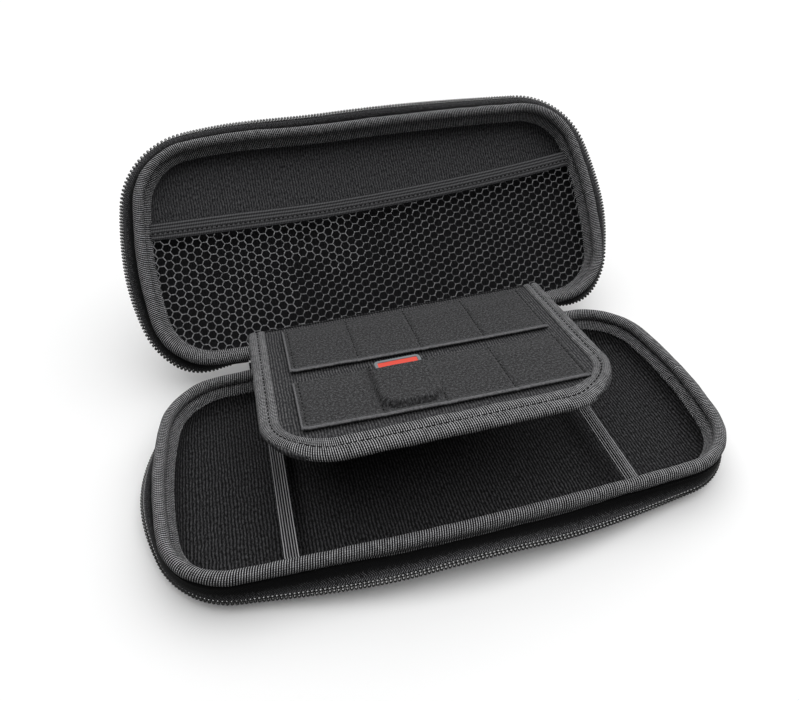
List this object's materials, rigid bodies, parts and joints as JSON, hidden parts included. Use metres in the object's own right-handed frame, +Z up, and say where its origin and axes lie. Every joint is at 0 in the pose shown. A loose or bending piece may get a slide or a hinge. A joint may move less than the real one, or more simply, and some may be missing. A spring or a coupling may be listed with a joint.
{
  "type": "hard console case",
  "caption": "Hard zip clamshell case for a handheld game console: moulded tray and lid, net pocket, elastic straps and a fold-down flap with card pockets.",
  "frame": {"origin": "on the surface the tray rests on, under the middle of the tray", "axes": "+X along the case, +Y towards the spine and the open lid, +Z up"},
  "size_m": [0.276, 0.2367, 0.1128],
  "materials": {
    "shell_cloth": "black woven cloth over moulded foam board",
    "lining_knit": "charcoal brushed knit with fine ribs",
    "binding_tape": "charcoal twill binding tape",
    "zipper_tape": "black woven zipper tape",
    "zipper_coil": "black moulded coil",
    "elastic_strap": "black ribbed elastic",
    "hinge_cloth": "black woven cloth",
    "slider_metal": "black lacquered die-cast",
    "net_mesh": "grey knitted net",
    "net_elastic": "charcoal ribbed elastic",
    "flap_board": "stiff board faced with charcoal ribbed knit",
    "flap_pad": "soft brushed pad",
    "pocket_elastic": "charcoal stretch cloth",
    "card_plastic": "grey moulded plastic"
  },
  "bodies": {
    "tray": {"tray_shell": "shell_cloth", "tray_lining": "lining_knit", "tray_binding": "binding_tape", "tray_zipper_tape": "zipper_tape", "tray_zipper_teeth": "zipper_coil", "strap_left": "elastic_strap", "strap_right": "elastic_strap", "spine_cloth": "hinge_cloth", "slider_left": "slider_metal", "slider_right": "slider_metal"},
    "lid": {"lid_shell": "shell_cloth", "lid_lining": "lining_knit", "lid_binding": "binding_tape", "lid_zipper_tape": "zipper_tape", "lid_zipper_teeth": "zipper_coil", "pocket_net": "net_mesh", "net_top_band": "net_elastic"},
    "flap_hanger": {"flap_strip": "hinge_cloth"},
    "card_flap": {"flap_panel": "flap_board", "flap_backing": "flap_pad", "flap_binding": "binding_tape", "rear_pocket_band": "pocket_elastic", "front_pocket_band": "pocket_elastic", "game_card": "card_plastic"},
    "pull_tab_left": {"pull_tab_left": "slider_metal"},
    "pull_tab_right": {"pull_tab_right": "slider_metal"}
  },
  "joints": [
    {"name": "lid_hinge", "type": "hinge", "parent": "tray", "child": "lid", "pos_m": [0, 0.06351, 0.0215], "axis": [1, 0, 0], "range_deg": [0, 133.8], "deforming": ["spine_cloth"]},
    {"name": "flap_fall", "type": "slide", "parent": "tray", "child": "flap_hanger", "axis": [0, -0.5433, -0.8396], "range_m": [0, 0.02026], "deforming": ["flap_strip"]},
    {"name": "flap_tilt", "type": "hinge", "parent": "flap_hanger", "child": "card_flap", "pos_m": [0, 0.063, 0.0405], "axis": [1, 0, 0], "range_deg": [0, 6.61]},
    {"name": "pull_tab_left_swing", "type": "hinge", "parent": "tray", "child": "pull_tab_left", "pos_m": [-0.08779, 0.06437, 0.008], "axis": [0, 0, 1], "range_deg": [0, 150]},
    {"name": "pull_tab_right_swing", "type": "hinge", "parent": "tray", "child": "pull_tab_right", "pos_m": [0.08779, 0.06437, 0.008], "axis": [0, 0, -1], "range_deg": [0, 150]}
  ],
  "couplings": [
    {"joint": "flap_fall", "follows": "lid_hinge", "m_per_rad": 0.00867},
    {"joint": "flap_tilt", "follows": "lid_hinge", "ratio": 0.0493}
  ]
}
